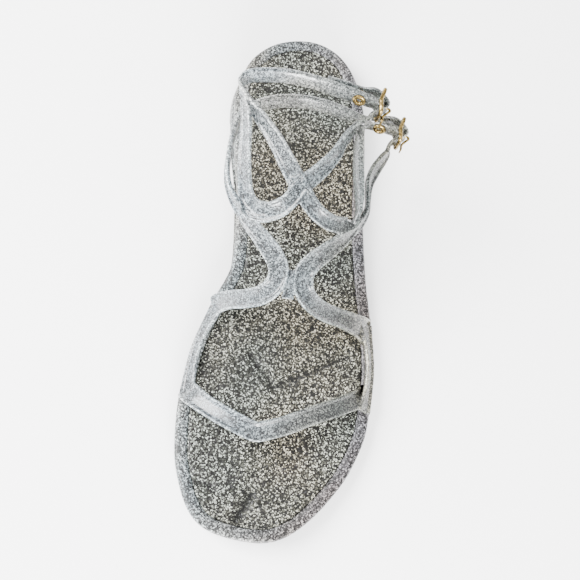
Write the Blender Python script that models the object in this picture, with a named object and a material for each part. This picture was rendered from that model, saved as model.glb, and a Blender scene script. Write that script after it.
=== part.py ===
"""A left jelly sandal: a flat moulded sole with a low heel block, a footbed laid in its rim,
and one moulded lattice of straps closed on the outer side of the ankle by two small buckles.

Metres, +Z up. The toe points to -Y and the outer side of the foot is +X.
The origin is on the floor, midway between heel and toe.
"""

import math

import bpy
import bmesh
import numpy as np
from mathutils import Vector

# Sole
LENGTH = 0.246
BALL_WIDTH = 0.088
HEEL_WIDTH = 0.064
HEEL_HEIGHT = 0.0150
FORE_HEIGHT = 0.0088
TOE_SPRING = 0.0050
HEEL_BLOCK_LENGTH = 0.046
HEEL_BLOCK_HEIGHT = 0.0068
HEEL_FLARE = 0.0016
ARCH_END = 0.613
RIM_WIDTH = 0.0056
EDGE_ROUND = 0.0010
INSOLE_THICK = 0.0020
INSOLE_DROP = 0.0004
CLEAR = 0.0003

# Upper
ANKLE_RISE = 0.055
BAND_WIDTH = 0.0088
STRAP_WIDTH = 0.0074
STRAP_THICK = 0.0026
TIP_THICK = 0.0016
WEB_WIDTH = 0.0060
WEB_THICK = 0.0014
RAIL_WIDTH = 0.0062
STRAP_BEVEL = 0.0006
TIP_LENGTH_A = 0.025
TIP_LENGTH_B = 0.0125

# Buckles and eyelets
BUCKLE_LENGTH = 0.0112
WIRE_RADIUS = 0.0008
BUCKLE_BOW = 0.0015
FRONT_SHARE = 0.2
LOOP_WALL = 0.0008
PRONG_RADIUS = 0.0006
PRONG_LENGTH = 0.0098
PRONG_SLOT = 0.0030
SLEEVE_LENGTH = 0.0024
EYELET_RADIUS = 0.0030
EYELET_HOLE = 0.0011
EYELET_WALL = 0.0007
EYELET_FLANGE = 0.0007
EYELET_BACK = 0.0088

# Half widths of the sole to each side of the heel-to-toe line, as shares of a width.
# Up to the waist they are shares of the heel width, past it of the ball width.
SOLE_TABLE = [
    # along, inner, outer, of_ball
    (0.00, 0.000, 0.000, 0.0),
    (0.03, 0.330, 0.275, 0.0),
    (0.08, 0.470, 0.400, 0.0),
    (0.15, 0.525, 0.480, 0.0),
    (0.25, 0.485, 0.518, 0.0),
    (0.36, 0.410, 0.550, 0.0),
    (0.48, 0.275, 0.448, 1.0),
    (0.58, 0.365, 0.505, 1.0),
    (0.68, 0.440, 0.540, 1.0),
    (0.77, 0.460, 0.530, 1.0),
    (0.85, 0.445, 0.465, 1.0),
    (0.92, 0.390, 0.345, 1.0),
    (0.97, 0.305, 0.215, 1.0),
    (0.99, 0.210, 0.130, 1.0),
    (1.00, 0.000, 0.000, 1.0),
]

# The straps' centre lines. along is a share of the length from the heel, across a share of the
# ball width, up a share of the ankle rise above the sole's rim, wide a share of the strap's
# width. lean turns the strap about its own line: 0 faces right of the way it runs, 90 up, 180 left.
TOE_STRAP = [
    # along, across, up, lean, wide
    (0.738, -0.440, -0.06, 82, 0.90),
    (0.753, -0.405, 0.09, 80, 1.12),
    (0.776, -0.310, 0.19, 78, 1.00),
    (0.797, -0.185, 0.24, 76, 1.00),
    (0.809, -0.095, 0.25, 76, 1.00),
    (0.812, -0.055, 0.25, 76, 1.00),
    (0.808, -0.015, 0.25, 76, 1.00),
    (0.794, 0.085, 0.25, 76, 0.98),
    (0.769, 0.220, 0.23, 78, 0.95),
    (0.744, 0.360, 0.17, 80, 0.95),
    (0.722, 0.465, 0.06, 82, 1.00),
    (0.709, 0.510, -0.07, 82, 1.15),
]
INNER_BAND = [
    (0.585, -0.352, -0.07, 84, 0.95),
    (0.580, -0.325, 0.10, 84, 1.12),
    (0.580, -0.268, 0.27, 84, 1.02),
    (0.583, -0.200, 0.41, 84, 1.00),
    (0.581, -0.132, 0.53, 85, 1.00),
    (0.570, -0.085, 0.61, 88, 1.00),
    (0.553, -0.063, 0.65, 91, 1.00),
    (0.535, -0.067, 0.68, 98, 1.00),
    (0.516, -0.100, 0.71, 112, 1.00),
    (0.497, -0.150, 0.73, 126, 0.96),
    (0.478, -0.202, 0.73, 140, 0.92),
    (0.454, -0.265, 0.71, 156, 0.88),
]
OUTER_BAND = [
    (0.590, 0.490, -0.07, 96, 1.60),
    (0.589, 0.450, 0.07, 96, 1.35),
    (0.588, 0.385, 0.18, 96, 1.12),
    (0.587, 0.297, 0.29, 96, 1.00),
    (0.587, 0.205, 0.41, 96, 1.00),
    (0.581, 0.128, 0.53, 95, 1.00),
    (0.570, 0.083, 0.61, 92, 1.00),
    (0.553, 0.064, 0.65, 89, 1.00),
    (0.535, 0.068, 0.68, 82, 1.00),
    (0.516, 0.104, 0.70, 68, 1.00),
    (0.498, 0.155, 0.72, 54, 0.96),
    (0.478, 0.210, 0.71, 40, 0.92),
    (0.453, 0.268, 0.68, 24, 0.88),
    (0.426, 0.315, 0.64, 12, 0.80),
]
WEB = [
    (0.584, 0.001, 0.590, 90, 0.90),
    (0.570, 0.001, 0.612, 90, 0.80),
    (0.553, 0.001, 0.645, 90, 0.70),
    (0.536, 0.001, 0.675, 90, 0.75),
]
INNER_U = [
    (0.437, -0.285, 0.74, 150, 0.95),
    (0.450, -0.235, 0.79, 60, 1.05),
    (0.454, -0.175, 0.85, 58, 1.16),
    (0.448, -0.115, 0.90, 60, 1.14),
    (0.434, -0.068, 0.93, 66, 1.00),
    (0.412, -0.030, 0.95, 74, 1.00),
    (0.390, -0.002, 0.96, 76, 0.95),
]
OUTER_U = [
    (0.433, 0.292, 0.68, 30, 0.95),
    (0.448, 0.228, 0.76, 120, 0.98),
    (0.453, 0.155, 0.83, 122, 1.00),
    (0.446, 0.086, 0.89, 120, 1.00),
    (0.429, 0.028, 0.92, 114, 1.00),
    (0.410, -0.012, 0.95, 106, 1.00),
    (0.390, -0.045, 0.96, 104, 0.95),
]
INNER_OVAL = [
    (0.449, -0.165, 0.86, 122, 0.95),
    (0.444, -0.222, 0.81, 128, 1.05),
    (0.426, -0.266, 0.79, 138, 1.10),
    (0.396, -0.290, 0.84, 145, 1.06),
    (0.358, -0.306, 0.885, 148, 1.02),
    (0.319, -0.316, 0.93, 152, 1.00),
    (0.289, -0.328, 0.955, 160, 0.98),
    (0.264, -0.348, 0.97, 170, 0.96),
]
OUTER_OVAL = [
    (0.437, 0.288, 0.67, 14, 1.00),
    (0.411, 0.296, 0.70, 0, 1.06),
    (0.380, 0.282, 0.75, -12, 1.10),
    (0.347, 0.262, 0.80, -16, 1.10),
    (0.314, 0.247, 0.85, -14, 1.06),
    (0.289, 0.243, 0.90, -8, 1.00),
    (0.272, 0.250, 0.95, 0, 0.96),
]
ANKLE_STRAP_A = [
    (0.421, 0.000, 0.93, 112, 1.10),
    (0.402, -0.035, 0.955, 120, 1.12),
    (0.375, -0.092, 0.975, 132, 1.12),
    (0.341, -0.155, 0.98, 144, 1.10),
    (0.305, -0.234, 0.98, 158, 1.06),
    (0.275, -0.312, 0.97, 172, 1.04),
    (0.252, -0.361, 0.965, 184, 1.04),
    (0.2345, -0.370, 0.958, 192, 1.02),
    (0.2215, -0.341, 0.95, 197, 1.00),
    (0.2135, -0.280, 0.94, 199, 1.00),
    (0.2075, -0.205, 0.925, 200, 1.00),
    (0.204, -0.130, 0.91, 200, 1.00),
    (0.206, -0.010, 0.90, 200, 1.00),
    (0.216, 0.125, 0.91, 200, 1.00),
    (0.222, 0.195, 0.92, 197, 1.00),
    (0.228, 0.265, 0.93, 192, 1.00),
]
FRONT_STRAP_A = [
    (0.421, -0.048, 0.93, 68, 1.10),
    (0.402, -0.008, 0.955, 60, 1.10),
    (0.376, 0.060, 0.975, 46, 1.08),
    (0.345, 0.122, 0.98, 32, 1.04),
    (0.311, 0.165, 0.975, 18, 1.00),
    (0.284, 0.215, 0.96, 8, 0.97),
    (0.267, 0.275, 0.945, 2, 0.94),
]
ANKLE_STRAP_B = [
    (0.461, -0.245, 0.71, 152, 0.98),
    (0.435, -0.308, 0.70, 166, 1.00),
    (0.407, -0.358, 0.71, 176, 1.00),
    (0.377, -0.380, 0.705, 180, 1.00),
    (0.339, -0.382, 0.69, 180, 1.00),
    (0.300, -0.372, 0.66, 184, 1.00),
    (0.260, -0.345, 0.61, 190, 1.00),
    (0.232, -0.275, 0.56, 196, 1.00),
    (0.209, -0.170, 0.51, 200, 1.00),
    (0.198, -0.050, 0.48, 202, 1.00),
    (0.199, 0.070, 0.48, 202, 1.00),
    (0.211, 0.180, 0.51, 200, 1.00),
    (0.224, 0.280, 0.535, 196, 1.00),
    (0.228, 0.350, 0.541, 193, 1.00),
    (0.232, 0.420, 0.547, 188, 1.00),
]
FRONT_STRAP_B = [
    (0.453, 0.268, 0.66, 20, 0.98),
    (0.427, 0.323, 0.62, 16, 1.00),
    (0.398, 0.352, 0.59, 14, 1.00),
    (0.370, 0.350, 0.575, 18, 1.00),
    (0.345, 0.350, 0.565, 28, 1.02),
    (0.320, 0.372, 0.56, 34, 1.02),
    (0.299, 0.402, 0.56, 28, 1.00),
    (0.281, 0.430, 0.555, 14, 0.96),
]
# The low wall on the rim from the toe strap back to a band, the same on both sides.
RAIL = [
    # along, lean, wide
    (0.745, 40, 1.35),
    (0.722, 44, 1.18),
    (0.695, 48, 1.02),
    (0.660, 50, 0.98),
    (0.630, 48, 1.04),
    (0.602, 44, 1.22),
    (0.580, 40, 1.40),
]
# Where each buckle's bar stands: along, across, up.
BAR_A = (0.2335, 0.318, 0.94)
BAR_B = (0.238, 0.478, 0.553)


def clear_scene():
    for thing in list(bpy.data.objects):
        bpy.data.objects.remove(thing, do_unlink=True)


def smooth_step(value):
    value = min(max(value, 0.0), 1.0)
    return value * value * (3 - 2 * value)


def steady(xs, ys, x):
    """A smooth curve through a table that never overshoots its rows."""
    xs = np.asarray(xs, float)
    ys = np.asarray(ys, float)
    gap = np.diff(xs)
    rate = np.diff(ys) / gap
    slope = np.zeros(len(xs))
    for i in range(1, len(xs) - 1):
        if rate[i - 1] * rate[i] > 0:
            slope[i] = 2 * rate[i - 1] * rate[i] / (rate[i - 1] + rate[i])
    slope[0] = rate[0]
    slope[-1] = rate[-1]
    i = int(np.clip(np.searchsorted(xs, x) - 1, 0, len(xs) - 2))
    t = (x - xs[i]) / gap[i]
    a = (1 + 2 * t) * (1 - t) ** 2 * ys[i] + t * (1 - t) ** 2 * gap[i] * slope[i]
    b = t * t * (3 - 2 * t) * ys[i + 1] + t * t * (t - 1) * gap[i] * slope[i + 1]
    return a + b


def turn_of(along):
    """The angle that spaces the sole's stations closely at heel and toe."""
    return math.acos(1 - 2 * min(max(along, 0.0), 1.0))


def half_widths(along):
    turns = [turn_of(row[0]) for row in SOLE_TABLE]
    widths = [HEEL_WIDTH * (1 - row[3]) + BALL_WIDTH * row[3] for row in SOLE_TABLE]
    inner = [row[1] * width for row, width in zip(SOLE_TABLE, widths)]
    outer = [row[2] * width for row, width in zip(SOLE_TABLE, widths)]
    turn = turn_of(along)
    return steady(turns, inner, turn), steady(turns, outer, turn)


def along_of(y):
    return 0.5 - y / LENGTH


def spring(along):
    return TOE_SPRING * max(0.0, (along - 0.80) / 0.20) ** 2


def rim_top(along):
    """Height of the sole's rim: level at the heel, down a slope, level at the ball."""
    drop = smooth_step((along - 0.18) / 0.44)
    return HEEL_HEIGHT + (FORE_HEIGHT - HEEL_HEIGHT) * drop + spring(along)


def wall_foot(along):
    """Where the side wall of the sole starts above the heel block's step."""
    start = HEEL_BLOCK_LENGTH / LENGTH
    drop = smooth_step((along - start) / (ARCH_END - start))
    return (HEEL_BLOCK_HEIGHT + EDGE_ROUND) * (1 - drop) + 2 * EDGE_ROUND * drop + spring(along)


def block_share(along):
    start = HEEL_BLOCK_LENGTH / LENGTH
    return 1 - smooth_step((along - start) / (ARCH_END - start))


def outline(stations=46):
    """The sole's edge as pairs of points: one inner and one outer point at each station."""
    rows = []
    for i in range(1, stations):
        along = 0.5 * (1 - math.cos(math.pi * i / stations))
        inner, outer = half_widths(along)
        rows.append((along, -inner, outer))
    heel = Vector((0.0, LENGTH / 2))
    toe = Vector((0.0, -LENGTH / 2))
    right = [Vector((row[2], LENGTH * (0.5 - row[0]))) for row in rows]
    left = [Vector((row[1], LENGTH * (0.5 - row[0]))) for row in rows]
    return [heel] + right + [toe] + left[::-1]


def inset_loop(loop, inset):
    """The loop moved inward by a distance, or outward where it is negative."""
    out = []
    n = len(loop)
    for i, point in enumerate(loop):
        way = (loop[(i + 1) % n] - loop[i - 1]).normalized()
        inward = Vector((way.y, -way.x))
        distance = inset(along_of(point.y)) if callable(inset) else inset
        out.append(point + inward * distance)
    return out


def slab(name, rings):
    """A closed body from rings of the same count, low centre to high centre, capped by strips."""
    mesh = bpy.data.meshes.new(name)
    body = bmesh.new()
    loops = []
    for loop, height in rings:
        loops.append([body.verts.new((p.x, p.y, height(along_of(p.y)))) for p in loop])
    n = len(loops[0])
    for low, high in zip(loops, loops[1:]):
        for i in range(n):
            j = (i + 1) % n
            body.faces.new((low[i], low[j], high[j], high[i]))
    half = n // 2
    for ring, flip in ((loops[0], False), (loops[-1], True)):
        for i in range(half):
            a, b = ring[i], ring[i + 1]
            c, d = ring[(n - i - 1) % n], ring[(n - i) % n]
            corners = [a, b, c, d]
            if i == 0:
                corners = [a, b, c]
            if i == half - 1:
                corners = [a, b, d]
            body.faces.new(corners if flip else corners[::-1])
    bmesh.ops.recalc_face_normals(body, faces=body.faces)
    if body.calc_volume(signed=True) < 0:
        bmesh.ops.reverse_faces(body, faces=body.faces)
    body.to_mesh(mesh)
    body.free()
    thing = bpy.data.objects.new(name, mesh)
    bpy.context.collection.objects.link(thing)
    return thing


def material(name, color, roughness, metallic=0.0):
    finish = bpy.data.materials.new(name)
    finish.use_nodes = True
    shader = finish.node_tree.nodes["Principled BSDF"]
    shader.inputs["Base Color"].default_value = (*color, 1.0)
    shader.inputs["Roughness"].default_value = roughness
    shader.inputs["Metallic"].default_value = metallic
    finish.diffuse_color = (*color, 1.0)
    return finish


def combine(target, tool, operation):
    """Joins or cuts the target with the tool, then drops the tool."""
    step = target.modifiers.new(operation.lower(), "BOOLEAN")
    step.operation = operation
    step.solver = "EXACT"
    step.object = tool
    bpy.context.view_layer.objects.active = target
    bpy.ops.object.modifier_apply(modifier=step.name)
    bpy.data.objects.remove(tool, do_unlink=True)


def tidy(thing, distance=0.00004):
    body = bmesh.new()
    body.from_mesh(thing.data)
    bmesh.ops.remove_doubles(body, verts=body.verts, dist=distance)
    bmesh.ops.dissolve_degenerate(body, dist=distance / 2, edges=body.edges)
    body.to_mesh(thing.data)
    body.free()


def place(along, across, up):
    return Vector(
        (across * BALL_WIDTH, LENGTH * (0.5 - along), rim_top(along) + up * ANKLE_RISE)
    )


def strap_rows(table, width, thick=STRAP_THICK):
    """Table rows as point, lean, width and thickness."""
    return [(place(*row[:3]), row[3], row[4] * width, thick) for row in table]


def sample(rows, step=0.005):
    """An even curve through the rows: point, direction, outward side, width, thickness."""
    points = [row[0] for row in rows]
    spots = []
    for i in range(len(rows) - 1):
        before = points[i - 1] if i else points[0] * 2 - points[1]
        after = points[i + 2] if i + 2 < len(points) else points[-1] * 2 - points[-2]
        count = max(1, round((points[i + 1] - points[i]).length / step))
        for k in range(count + (i == len(rows) - 2)):
            t = k / count
            a, b, c, d = before, points[i], points[i + 1], after
            spot = (
                b * 2
                + (c - a) * t
                + (a * 2 - b * 5 + c * 4 - d) * t * t
                + (b * 3 - a - c * 3 + d) * t**3
            ) * 0.5
            rest = [
                rows[i][q] + (rows[i + 1][q] - rows[i][q]) * smooth_step(t) for q in (1, 2, 3)
            ]
            spots.append((spot, *rest))
    out = []
    for i, (spot, lean, width, thick) in enumerate(spots):
        ahead = spots[min(i + 1, len(spots) - 1)][0]
        behind = spots[max(i - 1, 0)][0]
        way = (ahead - behind).normalized()
        right = way.cross(Vector((0, 0, 1))).normalized()
        upward = right.cross(way).normalized()
        turn = math.radians(lean)
        face = right * math.cos(turn) + upward * math.sin(turn)
        out.append((spot, way, face, width, thick))
    return out


def spot_before_end(rows, distance):
    """The strap's point, direction and outward side a distance before its end."""
    spots = sample(rows)
    for last, this in zip(spots[::-1], spots[-2::-1]):
        length = (last[0] - this[0]).length
        if distance <= length:
            share = distance / length
            spot = last[0].lerp(this[0], share)
            way = (last[0] - this[0]).normalized()
            face = last[2].lerp(this[2], share)
            face = (face - way * face.dot(way)).normalized()
            return spot, way, face
        distance -= length
    return spots[0][:3]


def ribbon(name, rows, step=0.005):
    """A strap swept along its rows with bevelled edges."""
    mesh = bpy.data.meshes.new(name)
    body = bmesh.new()
    loops = []
    for spot, way, face, width, thick in sample(rows, step):
        side = way.cross(face).normalized()
        w = width / 2
        t = thick / 2
        b = min(STRAP_BEVEL, t * 0.6)
        corners = [
            (w - b, t), (w, t - b), (w, b - t), (w - b, -t),
            (b - w, -t), (-w, b - t), (-w, t - b), (b - w, t),
        ]
        loops.append([body.verts.new(spot + side * x + face * z) for x, z in corners])
    for low, high in zip(loops, loops[1:]):
        for i in range(8):
            j = (i + 1) % 8
            body.faces.new((low[i], low[j], high[j], high[i]))
    body.faces.new(loops[0][::-1])
    body.faces.new(loops[-1])
    bmesh.ops.recalc_face_normals(body, faces=body.faces)
    if body.calc_volume(signed=True) < 0:
        bmesh.ops.reverse_faces(body, faces=body.faces)
    body.to_mesh(mesh)
    body.free()
    thing = bpy.data.objects.new(name, mesh)
    bpy.context.collection.objects.link(thing)
    return thing


def rail_rows(side):
    """The low wall along the sole's edge between the toe strap and a band."""
    rows = []
    for along, lean, wide in RAIL:
        inner, outer = half_widths(along)
        half = outer if side > 0 else inner
        width = RAIL_WIDTH * wide
        across = side * (half - width * 0.40)
        up = rim_top(along) + width * 0.30
        spot = Vector((across, LENGTH * (0.5 - along), up))
        rows.append((spot, 90 - side * lean, width, STRAP_THICK))
    return rows


def buckle_frame(bar):
    """Origin and axes of a buckle: forward to the toe, up, and out to the outer side."""
    return place(*bar), Vector((0, -1, 0)), Vector((0, 0, 1)), Vector((1, 0, 0))


LOOP_RADIUS = WIRE_RADIUS + CLEAR + LOOP_WALL
OVER = LOOP_RADIUS + CLEAR + TIP_THICK / 2 + 0.0001
UNDER = BUCKLE_BOW - WIRE_RADIUS - CLEAR - TIP_THICK / 2 - 0.0015
UNDER_FRONT = UNDER - 0.0013


def buckle_rows(bar, carrier, tip, width):
    """The strap through its buckle: under the front wire, over the bar, under the back wire,
    and its tip laid along the outside of the strap that carries the buckle."""
    start, forward, _, out = buckle_frame(bar)
    reach = BUCKLE_LENGTH / 2
    rows = [
        (start + forward * reach * 1.02 + out * UNDER_FRONT, 0, width, TIP_THICK),
        (start + forward * reach * 0.27 + out * OVER, 0, width, TIP_THICK),
        (start - forward * reach * 0.27 + out * OVER, 0, width, TIP_THICK),
        (start - forward * reach * 1.02 + out * UNDER, 0, width, TIP_THICK),
    ]
    clear = STRAP_THICK / 2 + EYELET_FLANGE + 3 * CLEAR + TIP_THICK / 2
    first = reach + 0.0030
    for share, wide in ((0.0, 1.0), (0.5, 0.98), (1.0, 0.85)):
        spot, way, face = spot_before_end(carrier, first + (tip - first) * share)
        right = Vector((-way.y, way.x, 0)).normalized()
        lean = math.degrees(math.atan2(face.z, face.dot(right)))
        rows.append((spot + face * clear, lean, width * wide, TIP_THICK))
    return rows


def tube(name, path, radius, sides=8, closed=False, flat=None):
    """A round wire along a path of points."""
    mesh = bpy.data.meshes.new(name)
    body = bmesh.new()
    loops = []
    n = len(path)
    for i, spot in enumerate(path):
        ahead = path[(i + 1) % n] if closed else path[min(i + 1, n - 1)]
        behind = path[i - 1] if closed or i else path[0]
        way = (ahead - behind).normalized()
        side = way.cross(flat).normalized()
        other = side.cross(way).normalized()
        loop = []
        for k in range(sides):
            a = 2 * math.pi * (k + 0.5) / sides
            loop.append(body.verts.new(spot + (side * math.cos(a) + other * math.sin(a)) * radius))
        loops.append(loop)
    pairs = list(zip(loops, loops[1:]))
    if closed:
        pairs.append((loops[-1], loops[0]))
    for low, high in pairs:
        for i in range(sides):
            j = (i + 1) % sides
            body.faces.new((low[i], low[j], high[j], high[i]))
    if not closed:
        body.faces.new(loops[0][::-1])
        body.faces.new(loops[-1])
    bmesh.ops.recalc_face_normals(body, faces=body.faces)
    if body.calc_volume(signed=True) < 0:
        bmesh.ops.reverse_faces(body, faces=body.faces)
    body.to_mesh(mesh)
    body.free()
    thing = bpy.data.objects.new(name, mesh)
    bpy.context.collection.objects.link(thing)
    return thing


def block(name, centre, axes, sizes):
    """A box from its centre, three axes and three sizes."""
    mesh = bpy.data.meshes.new(name)
    body = bmesh.new()
    bmesh.ops.create_cube(body, size=1.0)
    for vert in body.verts:
        spot = Vector(centre)
        for axis, size, share in zip(axes, sizes, vert.co):
            spot = spot + axis * size * share
        vert.co = spot
    bmesh.ops.recalc_face_normals(body, faces=body.faces)
    body.to_mesh(mesh)
    body.free()
    thing = bpy.data.objects.new(name, mesh)
    bpy.context.collection.objects.link(thing)
    return thing


def turned(name, profile, centre, axis, sides=16):
    """A ring turned about an axis from a closed profile of (radius, height)."""
    mesh = bpy.data.meshes.new(name)
    body = bmesh.new()
    side = axis.orthogonal().normalized()
    other = axis.cross(side).normalized()
    loops = []
    for k in range(sides):
        a = 2 * math.pi * k / sides
        ray = side * math.cos(a) + other * math.sin(a)
        loops.append([body.verts.new(centre + ray * r + axis * h) for r, h in profile])
    n = len(profile)
    for k in range(sides):
        low, high = loops[k], loops[(k + 1) % sides]
        for i in range(n):
            j = (i + 1) % n
            body.faces.new((low[i], low[j], high[j], high[i]))
    bmesh.ops.recalc_face_normals(body, faces=body.faces)
    if body.calc_volume(signed=True) < 0:
        bmesh.ops.reverse_faces(body, faces=body.faces)
    body.to_mesh(mesh)
    body.free()
    thing = bpy.data.objects.new(name, mesh)
    bpy.context.collection.objects.link(thing)
    return thing


def make_outsole():
    edge = outline()
    flare = lambda along: -HEEL_FLARE * block_share(along)
    step = lambda along: -HEEL_FLARE * 0.35 * block_share(along)
    floor = lambda along: spring(along)
    rise = HEEL_BLOCK_HEIGHT
    bed = lambda along: rim_top(along) - INSOLE_THICK - INSOLE_DROP - CLEAR
    rings = [
        (inset_loop(edge, lambda a: flare(a) + 2.4 * EDGE_ROUND), floor),
        (inset_loop(edge, lambda a: flare(a) + 0.5 * EDGE_ROUND), lambda a: floor(a) + 0.25 * EDGE_ROUND),
        (inset_loop(edge, flare), lambda a: floor(a) + EDGE_ROUND),
        (inset_loop(edge, step), lambda a: wall_foot(a) - 0.5 * EDGE_ROUND),
        (inset_loop(edge, 0.0), lambda a: wall_foot(a)),
        (inset_loop(edge, -0.0002), lambda a: 0.5 * (wall_foot(a) + rim_top(a))),
        (inset_loop(edge, 0.0), lambda a: rim_top(a) - EDGE_ROUND),
        (inset_loop(edge, 0.35 * EDGE_ROUND), lambda a: rim_top(a) - 0.3 * EDGE_ROUND),
        (inset_loop(edge, 1.2 * EDGE_ROUND), rim_top),
        (inset_loop(edge, RIM_WIDTH), rim_top),
        (inset_loop(edge, RIM_WIDTH), bed),
    ]
    sole = slab("outsole", rings)
    # The arch is cut away from the front of the heel block to the ball.
    front = LENGTH / 2 - HEEL_BLOCK_LENGTH
    ball = LENGTH * (0.5 - ARCH_END)
    reach = front - ball
    profile = [
        (front, -0.02),
        (front - 0.0006, rise),
        (front - 0.25 * reach, rise * 0.95),
        (front - 0.50 * reach, rise * 0.66),
        (front - 0.72 * reach, rise * 0.30),
        (front - 0.90 * reach, rise * 0.06),
        (ball, -0.0004),
        (ball, -0.02),
    ]
    mesh = bpy.data.meshes.new("arch_cut")
    body = bmesh.new()
    near = [body.verts.new((-BALL_WIDTH, y, z)) for y, z in profile]
    far = [body.verts.new((BALL_WIDTH, y, z)) for y, z in profile]
    n = len(profile)
    for i in range(n):
        j = (i + 1) % n
        body.faces.new((near[i], near[j], far[j], far[i]))
    body.faces.new(near[::-1])
    body.faces.new(far)
    bmesh.ops.recalc_face_normals(body, faces=body.faces)
    if body.calc_volume(signed=True) < 0:
        bmesh.ops.reverse_faces(body, faces=body.faces)
    body.to_mesh(mesh)
    body.free()
    cutter = bpy.data.objects.new("arch_cut", mesh)
    bpy.context.collection.objects.link(cutter)
    combine(sole, cutter, "DIFFERENCE")
    tidy(sole)
    return sole


def make_insole():
    edge = outline()
    inset = RIM_WIDTH + CLEAR
    low = lambda a: rim_top(a) - INSOLE_THICK - INSOLE_DROP
    high = lambda a: rim_top(a) - INSOLE_DROP
    rings = [
        (inset_loop(edge, inset + 0.0004), low),
        (inset_loop(edge, inset), lambda a: low(a) + 0.0004),
        (inset_loop(edge, inset), lambda a: high(a) - 0.0005),
        (inset_loop(edge, inset + 0.0006), high),
    ]
    return slab("insole", rings)


def make_bed_cutter():
    """Everything below the rim, to trim the straps' feet just above it."""
    edge = outline()
    rings = [
        (inset_loop(edge, -0.008), lambda a: -0.02),
        (inset_loop(edge, -0.008), lambda a: rim_top(a) + CLEAR),
        (inset_loop(edge, 0.0), lambda a: rim_top(a) + CLEAR),
        (inset_loop(edge, RIM_WIDTH), lambda a: rim_top(a) + CLEAR),
    ]
    return slab("bed_cut", rings)


def make_upper():
    rows_a = strap_rows(ANKLE_STRAP_A, STRAP_WIDTH)
    rows_b = strap_rows(ANKLE_STRAP_B, STRAP_WIDTH)
    rows_a.append((place(*BAR_A), 180, STRAP_WIDTH, STRAP_THICK))
    rows_b.append((place(*BAR_B), 180, STRAP_WIDTH, STRAP_THICK))
    front_a = strap_rows(FRONT_STRAP_A, STRAP_WIDTH)
    front_a += buckle_rows(BAR_A, rows_a, TIP_LENGTH_A, STRAP_WIDTH * 0.92)
    front_b = strap_rows(FRONT_STRAP_B, STRAP_WIDTH)
    front_b += buckle_rows(BAR_B, rows_b, TIP_LENGTH_B, STRAP_WIDTH * 0.92)
    upper = ribbon("upper", strap_rows(INNER_BAND, BAND_WIDTH))
    parts = [
        ribbon("outer_band", strap_rows(OUTER_BAND, BAND_WIDTH)),
        ribbon("web", strap_rows(WEB, WEB_WIDTH, WEB_THICK)),
        ribbon("toe_strap", strap_rows(TOE_STRAP, BAND_WIDTH)),
        ribbon("inner_rail", rail_rows(-1)),
        ribbon("outer_rail", rail_rows(1)),
        ribbon("inner_u", strap_rows(INNER_U, STRAP_WIDTH)),
        ribbon("outer_u", strap_rows(OUTER_U, STRAP_WIDTH)),
        ribbon("strap_a", rows_a),
        ribbon("front_a", front_a, 0.004),
        ribbon("inner_oval", strap_rows(INNER_OVAL, STRAP_WIDTH)),
        ribbon("outer_oval", strap_rows(OUTER_OVAL, STRAP_WIDTH)),
        ribbon("strap_b", rows_b),
        ribbon("front_b", front_b, 0.004),
    ]
    for bar in (BAR_A, BAR_B):
        start, forward, up, out = buckle_frame(bar)
        half = up * (STRAP_WIDTH / 2 + 0.0003)
        parts.append(tube("loop", [start - half, start + half], LOOP_RADIUS, 12, flat=forward))
    for part in parts:
        combine(upper, part, "UNION")
    combine(upper, make_bed_cutter(), "DIFFERENCE")
    for bar in (BAR_A, BAR_B):
        start, forward, up, out = buckle_frame(bar)
        half = up * STRAP_WIDTH
        bore = tube("bore", [start - half, start + half], WIRE_RADIUS + CLEAR, 12, flat=forward)
        combine(upper, bore, "DIFFERENCE")
        notch_size = (PRONG_SLOT, 2 * LOOP_RADIUS + 0.002, SLEEVE_LENGTH + 2 * CLEAR)
        notch = block(
            "notch",
            start + out * (LOOP_RADIUS + CLEAR - notch_size[1] / 2),
            (forward, out, up),
            (2 * LOOP_RADIUS + 0.001, notch_size[1], notch_size[2]),
        )
        combine(upper, notch, "DIFFERENCE")
        slot = block(
            "slot",
            start + forward * PRONG_SLOT * 0.30 + out * (OVER + 0.0002),
            (forward, out, up),
            (PRONG_SLOT, TIP_THICK + 0.0016, 2 * (PRONG_RADIUS + 2 * CLEAR)),
        )
        combine(upper, slot, "DIFFERENCE")
    eyelets = [spot_before_end(rows, EYELET_BACK) for rows in (rows_a, rows_b)]
    for spot, way, face in eyelets:
        reach = face * STRAP_THICK
        radius = EYELET_HOLE + EYELET_WALL + CLEAR
        combine(upper, tube("eye", [spot - reach, spot + reach], radius, 16, flat=way), "DIFFERENCE")
    tidy(upper)
    return upper, eyelets


def make_buckle(name, bar):
    """A bowed wire frame with a centre bar."""
    start, forward, up, out = buckle_frame(bar)
    half_long = BUCKLE_LENGTH / 2
    half_high = STRAP_WIDTH / 2 + WIRE_RADIUS + 3 * CLEAR
    corner = 0.0016
    path = []
    flats = [
        (half_long, half_high - corner), (half_long - corner, half_high),
        (half_long * 0.35, half_high), (0.0, half_high), (-half_long * 0.35, half_high),
        (corner - half_long, half_high), (-half_long, half_high - corner),
    ]
    flats += [(x, -z) for x, z in flats[::-1]]
    for x, z in flats:
        bow = BUCKLE_BOW * abs(x / half_long) * (1.0 if x < 0 else FRONT_SHARE)
        path.append(start + forward * x + up * z + out * bow)
    frame = tube(name, path, WIRE_RADIUS, 8, closed=True, flat=out)
    bar_half = up * half_high
    combine(frame, tube("bar", [start - bar_half, start + bar_half], WIRE_RADIUS, 8, flat=forward), "UNION")
    tidy(frame)
    return frame


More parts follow.
